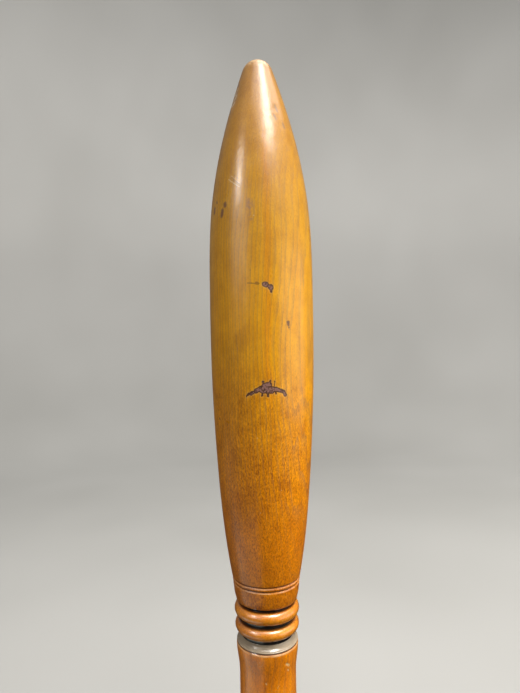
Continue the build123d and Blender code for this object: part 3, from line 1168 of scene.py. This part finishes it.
STAGE_RADIUS = 1.7
STAGE_CURVE = 0.6
STAGE_HEIGHT = 2.6
STAGE_SEGMENTS = 96
FLOOR_MM = -0.02
stage_rows = [(0.0, FLOOR_MM)]
stage_rows += [(r / MM, FLOOR_MM) for r in (0.3, 0.6, 0.9, STAGE_RADIUS - STAGE_CURVE)]
stage_rows += [
    (
        (STAGE_RADIUS - STAGE_CURVE + STAGE_CURVE * math.sin(math.radians(a))) / MM,
        (STAGE_CURVE - STAGE_CURVE * math.cos(math.radians(a))) / MM,
    )
    for a in range(9, 91, 9)
]
stage_rows += [(STAGE_RADIUS / MM, STAGE_HEIGHT / MM)]
stage_mesh = turned_mesh("studio", stage_rows, STAGE_SEGMENTS)
studio = bpy.data.objects.new("studio", stage_mesh)
bpy.context.scene.collection.objects.link(studio)
paint = Shader("studio_paint")
shade = paint.noise((420.0, 420.0, 600.0), detail=2.0, seed=5.0)
wall_colour = paint.ramp(shade, (0.3, 0.60, 0.59, 0.56), (0.7, 0.68, 0.67, 0.64))
wall_colour = paint.stain(paint.rise(paint.z, 900.0, 0.0), wall_colour, (0.62, 0.62, 0.62))
studio_normal = paint.bump(paint.noise((9.0, 9.0, 9.0), detail=3.0), 0.02)
stage_mesh.materials.append(paint.finish(wall_colour, 0.9, studio_normal, specular=0.1, glow=0.14))
studio.visible_glossy = False
studio.visible_shadow = False
studio.visible_diffuse = False


# ---- light

target = Vector((0.0, 0.0, (head_low.z + head_high.z) / 2))


def soft_box(
    name, azimuth, elevation, distance, width, height, power, colour, diffuse=True, glossy=True
):
    """Area light aimed at the head. Azimuth 0 is the front, and grows to the right."""
    turn, lift = math.radians(azimuth), math.radians(elevation)
    data = bpy.data.lights.new(name, "AREA")
    data.shape = "RECTANGLE"
    data.size, data.size_y = width, height
    data.energy = power
    data.color = colour
    lamp = bpy.data.objects.new(name, data)
    level = math.cos(lift)
    outward = Vector((math.sin(turn) * level, -math.cos(turn) * level, math.sin(lift)))
    lamp.location = target + outward * distance
    lamp.rotation_euler = (-outward).to_track_quat("-Z", "Y").to_euler()
    lamp.visible_camera = False
    lamp.visible_diffuse = diffuse
    lamp.visible_glossy = glossy
    bpy.context.scene.collection.objects.link(lamp)


WHITE, WARM, GREENISH = (1.0, 0.98, 0.96), (1.0, 0.97, 0.93), (0.94, 1.0, 0.88)
soft_box("ceiling_light", 40, 60, 1.2, 0.40, 0.56, 14.0, WHITE, diffuse=False)
soft_box("ceiling_panel", 56, 63, 1.25, 1.25, 0.85, 25.0, WHITE, glossy=False)
soft_box("ceiling_sheen", 64, 74, 1.2, 1.5, 1.0, 16.0, WHITE, diffuse=False)
soft_box("left_light", -54, 36, 1.2, 0.22, 0.28, 4.2, WHITE, diffuse=False)
soft_box("left_fill", -47, 20, 1.25, 0.80, 0.55, 2.9, WARM)
soft_box("left_edge", -95, -32, 0.8, 0.5, 0.5, 1.25, WARM, glossy=False)
soft_box("left_low", -60, -47, 0.8, 0.9, 0.35, 0.80, GREENISH, diffuse=False)
soft_box("right_window", 72, 30, 1.2, 1.6, 0.80, 10.0, WARM, glossy=False)
soft_box("right_fill", 72, 0, 1.25, 1.6, 0.60, 4.2, WARM)

world = bpy.data.worlds.new("room")
bpy.context.scene.world = world
world.use_nodes = True
sky = world.node_tree
background = sky.nodes["Background"]
facing_sky = sky.nodes.new("ShaderNodeTexCoord")
up = sky.nodes.new("ShaderNodeSeparateXYZ")
glow = sky.nodes.new("ShaderNodeValToRGB")
share_up = sky.nodes.new("ShaderNodeMapRange")
sky.links.new(facing_sky.outputs["Generated"], up.inputs[0])
sky.links.new(up.outputs["Z"], share_up.inputs["Value"])
share_up.inputs["From Min"].default_value = -1.0
share_up.inputs["From Max"].default_value = 1.0
sky.links.new(share_up.outputs[0], glow.inputs[0])
sky.links.new(glow.outputs[0], background.inputs["Color"])
# Brightness of the room from straight down (0) to straight up (1)
glow_stops = ((0.40, 0.03), (0.50, 0.07), (0.62, 0.12), (0.85, 0.24), (0.97, 0.90))
while len(glow.color_ramp.elements) < len(glow_stops):
    glow.color_ramp.elements.new(0.5)
for stop, (position, level) in zip(glow.color_ramp.elements, glow_stops):
    stop.position = position
    stop.color = (level, level, 0.96 * level, 1)
background.inputs["Strength"].default_value = 1.0

# ---- camera

CAMERA_DISTANCE = 0.260
CAMERA_HEIGHT = 0.2975
CAMERA_SIDE = -0.0011
CAMERA_ROLL = 1.03                   # in degrees
CAMERA_LENS = 27.01                  # in mm, on a 36 mm wide sensor
camera_data = bpy.data.cameras.new("camera")
camera_data.lens = CAMERA_LENS
camera_data.sensor_width = 36.0
camera_data.clip_start = 0.01
camera = bpy.data.objects.new("camera", camera_data)
bpy.context.scene.collection.objects.link(camera)
level_view = Matrix.Rotation(math.pi / 2, 4, "X")
facing = level_view @ Matrix.Rotation(-math.radians(CAMERA_ROLL), 4, "Z")
camera.matrix_world = Matrix.Translation((CAMERA_SIDE, -CAMERA_DISTANCE, CAMERA_HEIGHT)) @ facing
bpy.context.scene.camera = camera
bpy.context.scene.view_settings.view_transform = "Standard"

# ---- last update of the scene

bpy.context.view_layer.update()
